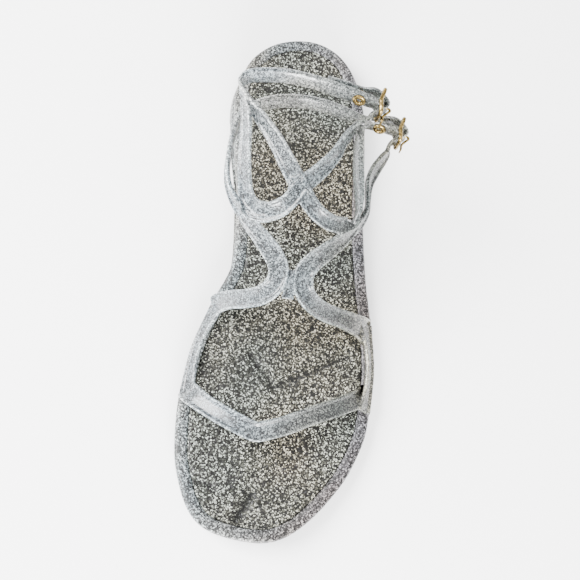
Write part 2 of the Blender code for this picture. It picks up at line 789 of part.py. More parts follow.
def make_prong(name, bar):
    """A prong on a sleeve round the bar, out through the strap and over the front wire."""
    start, forward, up, out = buckle_frame(bar)
    inside = WIRE_RADIUS + CLEAR
    outside = inside + 0.0006
    half = SLEEVE_LENGTH / 2
    profile = [(inside, -half), (outside, -half), (outside, half), (inside, half)]
    sleeve = turned(name, profile, start, up, 12)
    high = OVER + TIP_THICK / 2 + PRONG_RADIUS + 2 * CLEAR
    rest = BUCKLE_BOW * FRONT_SHARE + WIRE_RADIUS + CLEAR + PRONG_RADIUS
    front = BUCKLE_LENGTH / 2
    path = [
        start + forward * 0.0004 + out * (inside + 0.0003),
        start + forward * 0.0009 + out * (LOOP_RADIUS + 0.0006),
        start + forward * 0.0013 + out * (high - 0.0006),
        start + forward * 0.0022 + out * high,
        start + forward * front * 0.60 + out * (high * 0.65 + rest * 0.35),
        start + forward * front + out * (rest + 0.0001),
        start + forward * (front + PRONG_LENGTH) * 0.5 + out * (rest - 0.0001),
        start + forward * PRONG_LENGTH + out * (rest - 0.0008),
    ]
    combine(sleeve, tube("pin", path, PRONG_RADIUS, 8, flat=up), "UNION")
    tidy(sleeve)
    return sleeve


def make_eyelet(name, spot, face):
    inner = EYELET_HOLE
    shaft = EYELET_HOLE + EYELET_WALL
    low = STRAP_THICK / 2 + CLEAR
    high = low + EYELET_FLANGE
    rim = EYELET_RADIUS
    profile = [
        (inner, -high * 0.96), (rim * 0.7, -high), (rim, -low - 0.0002), (rim, -low),
        (shaft, -low), (shaft, low), (rim, low), (rim, low + 0.0002), (rim * 0.7, high),
        (inner, high * 0.96),
    ]
    return turned(name, profile, spot, face, 20)


def centre_over_origin(things):
    """Moves the whole shoe so that its box is centred over the origin, with its lowest point at 0."""
    spots = np.vstack([[v.co for v in thing.data.vertices] for thing in things])
    low = spots.min(axis=0)
    high = spots.max(axis=0)
    shift = Vector((-(low[0] + high[0]) / 2, -(low[1] + high[1]) / 2, -low[2]))
    for thing in things:
        for vertex in thing.data.vertices:
            vertex.co += shift


def main():
    clear_scene()
    silver = material("glitter_upper", (0.62, 0.66, 0.70), 0.25)
    grey = material("glitter_sole", (0.36, 0.35, 0.34), 0.30)
    bed = material("glitter_footbed", (0.40, 0.39, 0.37), 0.30)
    gold = material("gold_metal", (0.78, 0.58, 0.25), 0.25, 1.0)
    outsole = make_outsole()
    outsole.data.materials.append(grey)
    insole = make_insole()
    insole.data.materials.append(bed)
    upper, eyelets = make_upper()
    upper.data.materials.append(silver)
    things = [outsole, insole, upper]
    for letter, bar, eyelet in zip("ab", (BAR_A, BAR_B), eyelets):
        pieces = [
            make_buckle("buckle_frame_" + letter, bar),
            make_prong("buckle_prong_" + letter, bar),
            make_eyelet("eyelet_" + letter, eyelet[0], eyelet[2]),
        ]
        for piece in pieces:
            piece.data.materials.append(gold)
            things.append(piece)
    centre_over_origin(things)


main()
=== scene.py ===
"""A jelly sandal of glittery moulded plastic, for the left foot, on a pale studio floor."""
import math

import bmesh
import bpy
import numpy as np
from mathutils import Matrix, Vector


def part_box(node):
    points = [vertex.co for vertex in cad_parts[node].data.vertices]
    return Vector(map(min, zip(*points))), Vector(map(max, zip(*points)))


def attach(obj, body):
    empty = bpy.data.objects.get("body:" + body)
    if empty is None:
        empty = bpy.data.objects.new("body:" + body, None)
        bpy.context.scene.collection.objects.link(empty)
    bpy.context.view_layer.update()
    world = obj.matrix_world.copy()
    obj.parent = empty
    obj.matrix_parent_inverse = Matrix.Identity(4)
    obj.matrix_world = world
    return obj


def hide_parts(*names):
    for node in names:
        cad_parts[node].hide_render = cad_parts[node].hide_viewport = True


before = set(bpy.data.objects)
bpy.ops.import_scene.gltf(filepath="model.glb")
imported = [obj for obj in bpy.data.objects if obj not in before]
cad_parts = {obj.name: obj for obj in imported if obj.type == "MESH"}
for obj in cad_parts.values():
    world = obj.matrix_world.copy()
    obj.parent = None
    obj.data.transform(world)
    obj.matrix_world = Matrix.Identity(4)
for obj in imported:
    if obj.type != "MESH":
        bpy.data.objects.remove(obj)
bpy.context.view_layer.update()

# Sizes are in metres, and places along the sole are shares of its length from the heel.

# The sole
LENGTH = 0.246
BALL_WIDTH = 0.088
HEEL_WIDTH = 0.064
HEEL_HEIGHT = 0.0150
FORE_HEIGHT = 0.0088
SLOPE_START = 0.18
SLOPE_LENGTH = 0.44
TOE_SPRING = 0.0050
SPRING_START = 0.80
HEEL_BLOCK_LENGTH = 0.046
HEEL_BLOCK_HEIGHT = 0.0068
HEEL_FLARE = 0.0016
BLOCK_STEP = 0.0006
ARCH_END = 0.613
RIM_WIDTH = 0.0056
EDGE_ROUND = 0.0010
SEAT_DEPTH = 0.0027
OUTSOLE_STATIONS = 110

# The footbed
BED_GAP = 0.00001
BED_DEPTH = 0.0024
BED_DROP = 0.0002
BED_ROUND = 0.0016
CUP_DEPTH = 0.0005
INSOLE_STATIONS = 280
INSOLE_COLUMNS = 84

# The straps
ANKLE_RISE = 0.055
BAND_WIDTH = 0.0088
STRAP_WIDTH = 0.0074
STRAP_THICK = 0.0026
TIP_THICK = 0.0016
WEB_WIDTH = 0.0060
WEB_THICK = 0.0014
RAIL_WIDTH = 0.0062
RAIL_INSET = 0.40
RAIL_RISE = 0.30
TIP_LENGTH_A = 0.025
TIP_LENGTH_B = 0.0125
TIP_START = 0.0030
TIP_SHARE = 0.92
FOOT_HEIGHT = 0.008
CLEAR = 0.0003

# The buckles and eyelets
BUCKLE_LENGTH = 0.0112
WIRE_RADIUS = 0.0008
BUCKLE_BOW = 0.0015
FRONT_SHARE = 0.2
LOOP_RADIUS = 0.0019
PRONG_RADIUS = 0.0006
PRONG_LENGTH = 0.0098
SLEEVE_LENGTH = 0.0024
EYELET_RADIUS = 0.0030
EYELET_HOLE = 0.0011
EYELET_FLANGE = 0.0007
EYELET_BACK = 0.0088
# How far out of the buckle's plane the strap lies, over the bar and under the back and front wires
OVER = LOOP_RADIUS + CLEAR + TIP_THICK / 2 + 0.0001
UNDER = BUCKLE_BOW - WIRE_RADIUS - CLEAR - TIP_THICK / 2 - 0.0015
UNDER_FRONT = UNDER - 0.0013

# The moulded edge of a strap: how wide it is and how high it stands over the middle
EDGE_WIDTH = 0.0012
EDGE_HEIGHT = 0.0009
# Where the painted highlight along a strap's edge starts and how fast it comes in, as shares of the
# strap's half width
EDGE_START = 0.68
EDGE_FADE = 0.20
# How much of that painted highlight the smooth inner side of a strap has, and the fillets where straps
# join
INSIDE_SHARE = 0.5
JOIN_SHARE = 0.3

# Half widths of the sole to each side of the heel-to-toe line, as shares of a width.
# Up to the waist they are shares of the heel width, past it of the ball width.
SOLE_TABLE = [
    # along, inner, outer, of_ball
    (0.00, 0.000, 0.000, 0.0),
    (0.03, 0.330, 0.275, 0.0),
    (0.08, 0.470, 0.400, 0.0),
    (0.15, 0.525, 0.480, 0.0),
    (0.25, 0.485, 0.518, 0.0),
    (0.36, 0.410, 0.550, 0.0),
    (0.48, 0.275, 0.448, 1.0),
    (0.58, 0.365, 0.505, 1.0),
    (0.68, 0.440, 0.540, 1.0),
    (0.77, 0.460, 0.530, 1.0),
    (0.85, 0.445, 0.465, 1.0),
    (0.92, 0.390, 0.345, 1.0),
    (0.97, 0.305, 0.215, 1.0),
    (0.99, 0.210, 0.130, 1.0),
    (1.00, 0.000, 0.000, 1.0),
]
# The arch's height from the heel block to the ball, as a share of the block's height
ARCH_TABLE = [
    # share, height
    (0.00, 0.00),
    (0.03, 1.00),
    (0.25, 0.95),
    (0.50, 0.66),
    (0.72, 0.30),
    (0.90, 0.06),
    (1.00, 0.00),
]
# Lines moulded into the footbed and painted dark; the last, a shallow crease at the toe, has a painted
# dark reflection along it. Points are across and from the heel, in millimetres.
FOOTBED_LINES = [
    # points, half width, depth, darkness
    ([(-11.0, 162.5), (1.4, 176.7), (14.7, 169.6), (34.7, 157.8)], 0.0010, 0.0006, 0.97),
    ([(-29.3, 223.0), (-20.8, 223.7)], 0.0010, 0.0005, 0.94),
    # A shallow crease at the toe, darkened as a painted dark reflection
    ([(-8.6, 238.0), (-3.0, 226.0)], 0.0025, 0.0007, 0.97),
]

# The straps' centre lines. along is a share of the length from the heel, across a share of the
# ball width, up a share of the ankle rise above the sole's rim, wide a share of the strap's
# width. lean turns the strap about its own line: 0 faces right of the way it runs, 90 up, 180 left.
TOE_STRAP = [
    # along, across, up, lean, wide
    (0.738, -0.440, -0.06, 82, 0.90),
    (0.753, -0.405, 0.09, 80, 1.12),
    (0.776, -0.310, 0.19, 78, 1.00),
    (0.797, -0.185, 0.24, 76, 1.00),
    (0.809, -0.095, 0.25, 76, 1.00),
    (0.812, -0.055, 0.25, 76, 1.00),
    (0.808, -0.015, 0.25, 76, 1.00),
    (0.794, 0.085, 0.25, 76, 0.98),
    (0.769, 0.220, 0.23, 78, 0.95),
    (0.744, 0.360, 0.17, 80, 0.95),
    (0.722, 0.465, 0.06, 82, 1.00),
    (0.709, 0.510, -0.07, 82, 1.15),
]
INNER_BAND = [
    (0.585, -0.352, -0.07, 84, 0.95),
    (0.580, -0.325, 0.10, 84, 1.12),
    (0.580, -0.268, 0.27, 84, 1.02),
    (0.583, -0.200, 0.41, 84, 1.00),
    (0.581, -0.132, 0.53, 85, 1.00),
    (0.570, -0.085, 0.61, 88, 1.00),
    (0.553, -0.063, 0.65, 91, 1.00),
    (0.535, -0.067, 0.68, 98, 1.00),
    (0.516, -0.100, 0.71, 112, 1.00),
    (0.497, -0.150, 0.73, 126, 0.96),
    (0.478, -0.202, 0.73, 140, 0.92),
    (0.454, -0.265, 0.71, 156, 0.88),
]
OUTER_BAND = [
    (0.590, 0.490, -0.07, 96, 1.60),
    (0.589, 0.450, 0.07, 96, 1.35),
    (0.588, 0.385, 0.18, 96, 1.12),
    (0.587, 0.297, 0.29, 96, 1.00),
    (0.587, 0.205, 0.41, 96, 1.00),
    (0.581, 0.128, 0.53, 95, 1.00),
    (0.570, 0.083, 0.61, 92, 1.00),
    (0.553, 0.064, 0.65, 89, 1.00),
    (0.535, 0.068, 0.68, 82, 1.00),
    (0.516, 0.104, 0.70, 68, 1.00),
    (0.498, 0.155, 0.72, 54, 0.96),
    (0.478, 0.210, 0.71, 40, 0.92),
    (0.453, 0.268, 0.68, 24, 0.88),
    (0.426, 0.315, 0.64, 12, 0.80),
]
WEB = [
    (0.584, 0.001, 0.590, 90, 0.90),
    (0.570, 0.001, 0.612, 90, 0.80),
    (0.553, 0.001, 0.645, 90, 0.70),
    (0.536, 0.001, 0.675, 90, 0.75),
]
INNER_U = [
    (0.437, -0.285, 0.74, 150, 0.95),
    (0.450, -0.235, 0.79, 60, 1.05),
    (0.454, -0.175, 0.85, 58, 1.16),
    (0.448, -0.115, 0.90, 60, 1.14),
    (0.434, -0.068, 0.93, 66, 1.00),
    (0.412, -0.030, 0.95, 74, 1.00),
    (0.390, -0.002, 0.96, 76, 0.95),
]
OUTER_U = [
    (0.433, 0.292, 0.68, 30, 0.95),
    (0.448, 0.228, 0.76, 120, 0.98),
    (0.453, 0.155, 0.83, 122, 1.00),
    (0.446, 0.086, 0.89, 120, 1.00),
    (0.429, 0.028, 0.92, 114, 1.00),
    (0.410, -0.012, 0.95, 106, 1.00),
    (0.390, -0.045, 0.96, 104, 0.95),
]
INNER_OVAL = [
    (0.449, -0.165, 0.86, 122, 0.95),
    (0.444, -0.222, 0.81, 128, 1.05),
    (0.426, -0.266, 0.79, 138, 1.10),
    (0.396, -0.290, 0.84, 145, 1.06),
    (0.358, -0.306, 0.885, 148, 1.02),
    (0.319, -0.316, 0.93, 152, 1.00),
    (0.289, -0.328, 0.955, 160, 0.98),
    (0.264, -0.348, 0.97, 170, 0.96),
]
OUTER_OVAL = [
    (0.437, 0.288, 0.67, 14, 1.00),
    (0.411, 0.296, 0.70, 0, 1.06),
    (0.380, 0.282, 0.75, -12, 1.10),
    (0.347, 0.262, 0.80, -16, 1.10),
    (0.314, 0.247, 0.85, -14, 1.06),
    (0.289, 0.243, 0.90, -8, 1.00),
    (0.272, 0.250, 0.95, 0, 0.96),
]
ANKLE_STRAP_A = [
    (0.421, 0.000, 0.93, 112, 1.10),
    (0.402, -0.035, 0.955, 120, 1.12),
    (0.375, -0.092, 0.975, 132, 1.12),
    (0.341, -0.155, 0.98, 144, 1.10),
    (0.305, -0.234, 0.98, 158, 1.06),
    (0.275, -0.312, 0.97, 172, 1.04),
    (0.252, -0.361, 0.965, 184, 1.04),
    (0.2345, -0.370, 0.958, 192, 1.02),
    (0.2215, -0.341, 0.95, 197, 1.00),
    (0.2135, -0.280, 0.94, 199, 1.00),
    (0.2075, -0.205, 0.925, 200, 1.00),
    (0.204, -0.130, 0.91, 200, 1.00),
    (0.206, -0.010, 0.90, 200, 1.00),
    (0.216, 0.125, 0.91, 200, 1.00),
    (0.222, 0.195, 0.92, 197, 1.00),
    (0.228, 0.265, 0.93, 192, 1.00),
]
FRONT_STRAP_A = [
    (0.421, -0.048, 0.93, 68, 1.10),
    (0.402, -0.008, 0.955, 60, 1.10),
    (0.376, 0.060, 0.975, 46, 1.08),
    (0.345, 0.122, 0.98, 32, 1.04),
    (0.311, 0.165, 0.975, 18, 1.00),
    (0.284, 0.215, 0.96, 8, 0.97),
    (0.267, 0.275, 0.945, 2, 0.94),
]
ANKLE_STRAP_B = [
    (0.461, -0.245, 0.71, 152, 0.98),
    (0.435, -0.308, 0.70, 166, 1.00),
    (0.407, -0.358, 0.71, 176, 1.00),
    (0.377, -0.380, 0.705, 180, 1.00),
    (0.339, -0.382, 0.69, 180, 1.00),
    (0.300, -0.372, 0.66, 184, 1.00),
    (0.260, -0.345, 0.61, 190, 1.00),
    (0.232, -0.275, 0.56, 196, 1.00),
    (0.209, -0.170, 0.51, 200, 1.00),
    (0.198, -0.050, 0.48, 202, 1.00),
    (0.199, 0.070, 0.48, 202, 1.00),
    (0.211, 0.180, 0.51, 200, 1.00),
    (0.224, 0.280, 0.535, 196, 1.00),
    (0.228, 0.350, 0.541, 193, 1.00),
    (0.232, 0.420, 0.547, 188, 1.00),
]
FRONT_STRAP_B = [
    (0.453, 0.268, 0.66, 20, 0.98),
    (0.427, 0.323, 0.62, 16, 1.00),
    (0.398, 0.352, 0.59, 14, 1.00),
    (0.370, 0.350, 0.575, 18, 1.00),
    (0.345, 0.350, 0.565, 28, 1.02),
    (0.320, 0.372, 0.56, 34, 1.02),
    (0.299, 0.402, 0.56, 28, 1.00),
    (0.281, 0.430, 0.555, 14, 0.96),
]
# The low wall on the rim from the toe strap back to a band, the same on both sides
RAIL = [
    # along, lean, wide
    (0.745, 40, 1.35),
    (0.722, 44, 1.18),
    (0.695, 48, 1.02),
    (0.660, 50, 0.98),
    (0.630, 48, 1.04),
    (0.602, 44, 1.22),
    (0.580, 40, 1.40),
]
# Where each buckle's bar stands: along, across, up
BAR_A = (0.2335, 0.318, 0.94)
BAR_B = (0.238, 0.478, 0.553)


def smooth_step(value):
    value = min(max(value, 0.0), 1.0)
    return value * value * (3 - 2 * value)


def steady(xs, ys, x):
    """A smooth curve through a table that never overshoots its rows."""
    xs = np.asarray(xs, float)
    ys = np.asarray(ys, float)
    gap = np.diff(xs)
    rate = np.diff(ys) / gap
    slope = np.zeros(len(xs))
    for i in range(1, len(xs) - 1):
        if rate[i - 1] * rate[i] > 0:
            slope[i] = 2 * rate[i - 1] * rate[i] / (rate[i - 1] + rate[i])
    slope[0] = rate[0]
    slope[-1] = rate[-1]
    i = int(np.clip(np.searchsorted(xs, x) - 1, 0, len(xs) - 2))
    t = (x - xs[i]) / gap[i]
    a = (1 + 2 * t) * (1 - t) ** 2 * ys[i] + t * (1 - t) ** 2 * gap[i] * slope[i]
    b = t * t * (3 - 2 * t) * ys[i + 1] + t * t * (t - 1) * gap[i] * slope[i + 1]
    return a + b


def between(a, b, c, d, t):
    """The point a share t of the way from b to c, on the smooth curve through a, b, c and d."""
    return (
        b * 2
        + (c - a) * t
        + (a * 2 - b * 5 + c * 4 - d) * t * t
        + (b * 3 - a - c * 3 + d) * t**3
    ) * 0.5


def half_widths(along):
    """Half width of the sole toward the inner side and toward the outer side."""
    turns = [math.acos(1 - 2 * row[0]) for row in SOLE_TABLE]
    widths = [HEEL_WIDTH * (1 - row[3]) + BALL_WIDTH * row[3] for row in SOLE_TABLE]
    inner = [row[1] * width for row, width in zip(SOLE_TABLE, widths)]
    outer = [row[2] * width for row, width in zip(SOLE_TABLE, widths)]
    turn = math.acos(1 - 2 * min(max(along, 0.0), 1.0))
    return steady(turns, inner, turn), steady(turns, outer, turn)


def along_of(y):
    return 0.5 - y / LENGTH


def spring(along):
    """How far the toe's underside lifts off the floor."""
    return TOE_SPRING * max(0.0, (along - SPRING_START) / (1 - SPRING_START)) ** 2


def rim_top(along):
    """Height of the sole's rim: level at the heel, down a slope, level at the ball."""
    drop = smooth_step((along - SLOPE_START) / SLOPE_LENGTH)
    return HEEL_HEIGHT + (FORE_HEIGHT - HEEL_HEIGHT) * drop + spring(along)


def block_share(along):
    """How far along the arch is, from the heel block at 0 to the ball at 1."""
    start = HEEL_BLOCK_LENGTH / LENGTH
    return (along - start) / (ARCH_END - start)


def arch_drop(along):
    return smooth_step(block_share(along))


def wall_foot(along):
    """Where the side wall of the sole starts above the heel block's step."""
    drop = arch_drop(along)
    return (HEEL_BLOCK_HEIGHT + EDGE_ROUND) * (1 - drop) + 2 * EDGE_ROUND * drop + spring(along)


def underside(along):
    """Height of the underside: level heel block, arch, level ball and lifted toe."""
    share = block_share(along)
    if share <= 0 or share >= 1:
        return spring(along)
    shares, heights = zip(*ARCH_TABLE)
    return spring(along) + HEEL_BLOCK_HEIGHT * steady(shares, heights, share)


def block_edge(along):
    return min(underside(along) + EDGE_ROUND, wall_foot(along) - BLOCK_STEP)


def wall_middle(along):
    return 0.5 * (wall_foot(along) + rim_top(along))


def place(along, across, up):
    return Vector((across * BALL_WIDTH, LENGTH * (0.5 - along), rim_top(along) + up * ANKLE_RISE))


def packed_shift():
    """How far packing moved the shoe, to centre it on its box: read from a buckle's place."""
    low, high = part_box("buckle_frame_a")
    bar = place(*BAR_A)
    return Vector((low[0] - (bar.x - WIRE_RADIUS), (low[1] + high[1]) / 2 - bar.y, 0.0))


SHIFT = packed_shift()


# Building blocks
def add(name, body):
    """A new object from a bmesh built in the shoe's own frame."""
    bmesh.ops.recalc_face_normals(body, faces=body.faces)
    if body.calc_volume(signed=True) < 0:
        bmesh.ops.reverse_faces(body, faces=body.faces)
    bmesh.ops.translate(body, verts=body.verts, vec=SHIFT)
    mesh = bpy.data.meshes.new(name)
    body.to_mesh(mesh)
    body.free()
    thing = bpy.data.objects.new(name, mesh)
    bpy.context.collection.objects.link(thing)
    for face in mesh.polygons:
        face.use_smooth = True
    return thing


def stitch(body, loops):
    """Faces between each loop of points and the next."""
    n = len(loops[0])
    for low, high in zip(loops, loops[1:]):
        for i in range(n):
            j = (i + 1) % n
            body.faces.new((low[i], low[j], high[j], high[i]))


def cap(body, ring, flip, height, columns):
    """Closes a ring with rows of faces from side to side, at a height worked out at each point."""
    n = len(ring)
    half = n // 2
    rows = [[ring[0]]]
    for i in range(1, half):
        right, left = ring[i], ring[n - i]
        row = [right]
        for k in range(1, columns):
            spot = right.co.lerp(left.co, k / columns)
            spot.z = height(spot.x, spot.y)
            row.append(body.verts.new(spot))
        rows.append(row + [left])
    rows.append([ring[half]])
    for a, b in zip(rows, rows[1:]):
        if len(a) == 1:
            faces = [(a[0], b[k], b[k + 1]) for k in range(columns)]
        elif len(b) == 1:
            faces = [(a[k], b[0], a[k + 1]) for k in range(columns)]
        else:
            faces = [(a[k], b[k], b[k + 1], a[k + 1]) for k in range(columns)]
        for face in faces:
            body.faces.new(face if flip else face[::-1])


def rod(body, path, radius, sides, flat, closed=False):
    """A round wire or pin along a path of points that lies across the direction flat."""
    loops = []
    n = len(path)
    for i, spot in enumerate(path):
        ahead = path[(i + 1) % n] if closed else path[min(i + 1, n - 1)]
        behind = path[i - 1] if closed or i else path[0]
        way = (ahead - behind).normalized()
        side = way.cross(flat).normalized()
        other = side.cross(way).normalized()
        r = radius(i / (n - 1)) if callable(radius) else radius
        turns = [2 * math.pi * k / sides for k in range(sides)]
        rays = [side * math.cos(a) + other * math.sin(a) for a in turns]
        loops.append([body.verts.new(spot + ray * r) for ray in rays])
    if closed:
        loops.append(loops[0])
    stitch(body, loops)
    if not closed:
        body.faces.new(loops[0][::-1])
        body.faces.new(loops[-1])


def turned(body, profile, centre, axis, sides):
    """A ring turned about an axis from a closed profile of (radius, height)."""
    side = axis.orthogonal().normalized()
    other = axis.cross(side).normalized()
    loops = []
    for k in range(sides):
        a = 2 * math.pi * k / sides
        ray = side * math.cos(a) + other * math.sin(a)
        loops.append([body.verts.new(centre + ray * r + axis * h) for r, h in profile])
    stitch(body, loops + [loops[0]])


def smooth_path(path, closed, count=6):
    """The path with extra points on a smooth curve between its own."""
    out = []
    n = len(path)
    for i in range(n if closed else n - 1):
        a = path[i - 1] if closed or i else path[0] * 2 - path[1]
        b, c = path[i], path[(i + 1) % n]
        d = path[(i + 2) % n] if closed or i + 2 < n else path[-1] * 2 - path[-2]
        out += [between(a, b, c, d, k / count) for k in range(count)]
    if not closed:
        out.append(path[-1])
    return out


def write_edge_marks(thing, marks):
    """Stores one number a point, which the materials read as the attribute edge."""
    thing.data.attributes.new("edge", "FLOAT", "POINT").data.foreach_set("value", marks)


# Sole
# Rings of points from the underside out, up the wall, over the rim and down into the footbed's seat.
# flared is the share of the heel block's flare, inset the distance in from the sole's edge, and rise
# the height above the level named.
OUTSOLE_SECTION = [
    # flared, inset, level, rise
    (1.0, 0.0024, underside, 0.0),
    (1.0, 0.0008, underside, 0.00015),
    (1.0, 0.00015, underside, 0.00055),
    (1.0, 0.0, block_edge, 0.0),
    (0.4, 0.0, wall_foot, -0.0005),
    (0.3, 0.0002, wall_foot, -0.00025),
    (0.0, 0.0, wall_foot, 0.0001),
    (0.0, -0.0002, wall_middle, 0.0),
    (0.0, -0.0001, rim_top, -0.0011),
    (0.0, 0.00025, rim_top, -0.00045),
    (0.0, 0.0007, rim_top, -0.00012),
    (0.0, 0.0014, rim_top, 0.0),
    (0.0, RIM_WIDTH * 0.5, rim_top, 0.00005),
    (0.0, RIM_WIDTH - 0.0008, rim_top, 0.0),
    (0.0, RIM_WIDTH - 0.0002, rim_top, -0.0003),
    (0.0, RIM_WIDTH, rim_top, -0.0009),
    (0.0, RIM_WIDTH, rim_top, -SEAT_DEPTH),
]
INSOLE_SECTION = [
    # flared, inset, level, rise
    (0.0, RIM_WIDTH + BED_GAP, rim_top, -BED_DEPTH),
    (0.0, RIM_WIDTH + BED_GAP, rim_top, -0.0011),
    (0.0, RIM_WIDTH + BED_GAP + 0.0002, rim_top, -0.0004),
    (0.0, RIM_WIDTH + BED_GAP + 0.0006, rim_top, -0.0003),
]


def outline(stations):
    """The sole's edge in plan, from the heel down the outer side and back up the inner side."""
    rows = []
    for i in range(1, stations):
        along = 0.5 * (1 - math.cos(math.pi * i / stations))
        rows.append((along, *half_widths(along)))
    right = [Vector((row[2], LENGTH * (0.5 - row[0]))) for row in rows]
    left = [Vector((-row[1], LENGTH * (0.5 - row[0]))) for row in rows]
    return [Vector((0.0, LENGTH / 2))] + right + [Vector((0.0, -LENGTH / 2))] + left[::-1]


def inset_loop(loop, inset):
    """The loop moved inward by a distance that depends on where it is along the sole."""
    out = []
    n = len(loop)
    for i, point in enumerate(loop):
        way = (loop[(i + 1) % n] - loop[i - 1]).normalized()
        inward = Vector((way.y, -way.x))
        out.append(point + inward * inset(along_of(point.y)))
    return out


def section_ring(body, edge, flared, inset, level, rise):
    """One ring of the sole's section, all the way round."""
    loop = inset_loop(edge, lambda along: inset - flared * HEEL_FLARE * (1 - arch_drop(along)))
    return [body.verts.new((p.x, p.y, level(along_of(p.y)) + rise)) for p in loop]


def make_outsole():
    edge = outline(OUTSOLE_STATIONS)
    body = bmesh.new()
    loops = [section_ring(body, edge, *row) for row in OUTSOLE_SECTION]
    stitch(body, loops)
    cap(body, loops[0], False, lambda x, y: underside(along_of(y)), 14)
    cap(body, loops[-1], True, lambda x, y: rim_top(along_of(y)) - SEAT_DEPTH, 4)
    return add("outsole_moulded", body)


def in_metres(line):
    return [(across / 1000, LENGTH / 2 - from_heel / 1000) for across, from_heel in line]


PRESSED_LINES = [(in_metres(line), *sizes) for line, *sizes in FOOTBED_LINES]


def nearness(x, y, line, wide):
    """1 on a line of points, falling away smoothly to each side over its half width."""
    best = 1.0
    for (ax, ay), (bx, by) in zip(line, line[1:]):
        dx, dy = bx - ax, by - ay
        t = min(max(((x - ax) * dx + (y - ay) * dy) / (dx * dx + dy * dy), 0.0), 1.0)
        best = min(best, math.hypot(x - ax - dx * t, y - ay - dy * t))
    return math.exp(-((best / wide) ** 2))


def footbed_height(x, y):
    """Top of the footbed: a shallow cup with the moulded lines pressed into it."""
    along = along_of(y)
    z = rim_top(along) - BED_DROP
    inner, outer = half_widths(along)
    across = (x - (outer - inner) / 2) / ((outer + inner) / 2 - RIM_WIDTH)
    z -= CUP_DEPTH * max(0.0, 1 - across * across)
    for line, wide, deep, _ in PRESSED_LINES:
        z -= deep * nearness(x, y, line, wide)
    return z


# How dark the footbed's lines are painted; at the toe line this is a painted dark reflection
def footbed_darkness(x, y):
    return max(dark * nearness(x, y, line, wide) for line, wide, _, dark in PRESSED_LINES)


def make_insole():
    edge = outline(INSOLE_STATIONS)
    body = bmesh.new()
    loops = [section_ring(body, edge, *row) for row in INSOLE_SECTION]
    stitch(body, loops)
    cap(body, loops[0], False, lambda x, y: rim_top(along_of(y)) - BED_DEPTH, 4)
    inner = inset_loop(edge, lambda along: RIM_WIDTH + BED_GAP + BED_ROUND)
    ring = [body.verts.new((p.x, p.y, footbed_height(p.x, p.y))) for p in inner]
    stitch(body, [loops[-1], ring])
    cap(body, ring, True, footbed_height, INSOLE_COLUMNS)
    thing = add("footbed_moulded", body)
    spots = [vertex.co - SHIFT for vertex in thing.data.vertices]
    write_edge_marks(thing, [footbed_darkness(spot.x, spot.y) for spot in spots])
    return thing


# Straps
def strap_rows(table, width, thick=STRAP_THICK):
    """Table rows as point, lean, width and thickness."""
    return [(place(*row[:3]), row[3], row[4] * width, thick) for row in table]


def rail_rows(side):
    """The low wall along the sole's edge between the toe strap and a band."""
    rows = []
    for along, lean, wide in RAIL:
        inner, outer = half_widths(along)
        half = outer if side > 0 else inner
        width = RAIL_WIDTH * wide
        across = side * (half - width * RAIL_INSET)
        spot = Vector((across, LENGTH * (0.5 - along), rim_top(along) + width * RAIL_RISE))
        rows.append((spot, 90 - side * lean, width, STRAP_THICK))
    return rows


def sample(rows, step=0.001):
    """An even curve through the rows: point, direction, outward side, width, thickness."""
    points = [row[0] for row in rows]
    spots = []
    for i in range(len(rows) - 1):
        before = points[i - 1] if i else points[0] * 2 - points[1]
        after = points[i + 2] if i + 2 < len(points) else points[-1] * 2 - points[-2]
        count = max(1, round((points[i + 1] - points[i]).length / step))
        for k in range(count + (i == len(rows) - 2)):
            t = k / count
            spot = between(before, points[i], points[i + 1], after, t)
            rest = [rows[i][q] + (rows[i + 1][q] - rows[i][q]) * smooth_step(t) for q in (1, 2, 3)]
            spots.append((spot, *rest))
    out = []
    for i, (spot, lean, width, thick) in enumerate(spots):
        way = (spots[min(i + 1, len(spots) - 1)][0] - spots[max(i - 1, 0)][0]).normalized()
        right = way.cross(Vector((0, 0, 1))).normalized()
        upward = right.cross(way).normalized()
        turn = math.radians(lean)
        out.append((spot, way, right * math.cos(turn) + upward * math.sin(turn), width, thick))
    return out


def spot_before_end(rows, distance):
    """The strap's point, direction and outward side a distance before its end."""
    spots = sample(rows, 0.005)
    for last, this in zip(spots[::-1], spots[-2::-1]):
        length = (last[0] - this[0]).length
        if distance <= length:
            share = distance / length
            spot = last[0].lerp(this[0], share)
            way = (last[0] - this[0]).normalized()
            face = last[2].lerp(this[2], share)
            face = (face - way * face.dot(way)).normalized()
            return spot, way, face
        distance -= length
    return spots[0][:3]


def strap_section(width, thick, edged):
    """Points round a strap: across it, and outward from its middle. Its inner side is crowned."""
    w = width / 2
    t = thick / 2
    e = min(EDGE_WIDTH, w * 0.4)
    low = t - (EDGE_HEIGHT if edged else 0.0001)
    half = [
        (0.0, low), (w - e * 1.6, low), (w - e * 1.15, low + (t - low) * 0.45),
        (w - e * 0.75, t * 0.99), (w - e * 0.40, t), (w - e * 0.12, t - 0.0002),
        (w, t - 0.0006), (w, -t * 0.05), (w * 0.96, -t * 0.35), (w * 0.82, -t * 0.66),
        (w * 0.58, -t * 0.87), (w * 0.30, -t * 0.97), (0.0, -t),
    ]
    return half + [(-x, z) for x, z in half[::-1][1:-1]]


def strap(body, rows, edged=True):
    """A strap swept along its rows. Returns its track: point, side, outward side, half width."""
    loops = []
    track = []
    for spot, way, face, width, thick in sample(rows):
        side = way.cross(face).normalized()
        corners = strap_section(width, thick, edged)
        loops.append([body.verts.new(spot + side * x + face * z) for x, z in corners])
        track.append((*(spot + SHIFT), *side, *face, width / 2))
    stitch(body, loops)
    body.faces.new(loops[0][::-1])
    body.faces.new(loops[-1])
    return np.array(track)


def buckle_frame(bar):
    """Origin and axes of a buckle: forward to the toe, up, and out to the outer side."""
    return place(*bar), Vector((0, -1, 0)), Vector((0, 0, 1)), Vector((1, 0, 0))


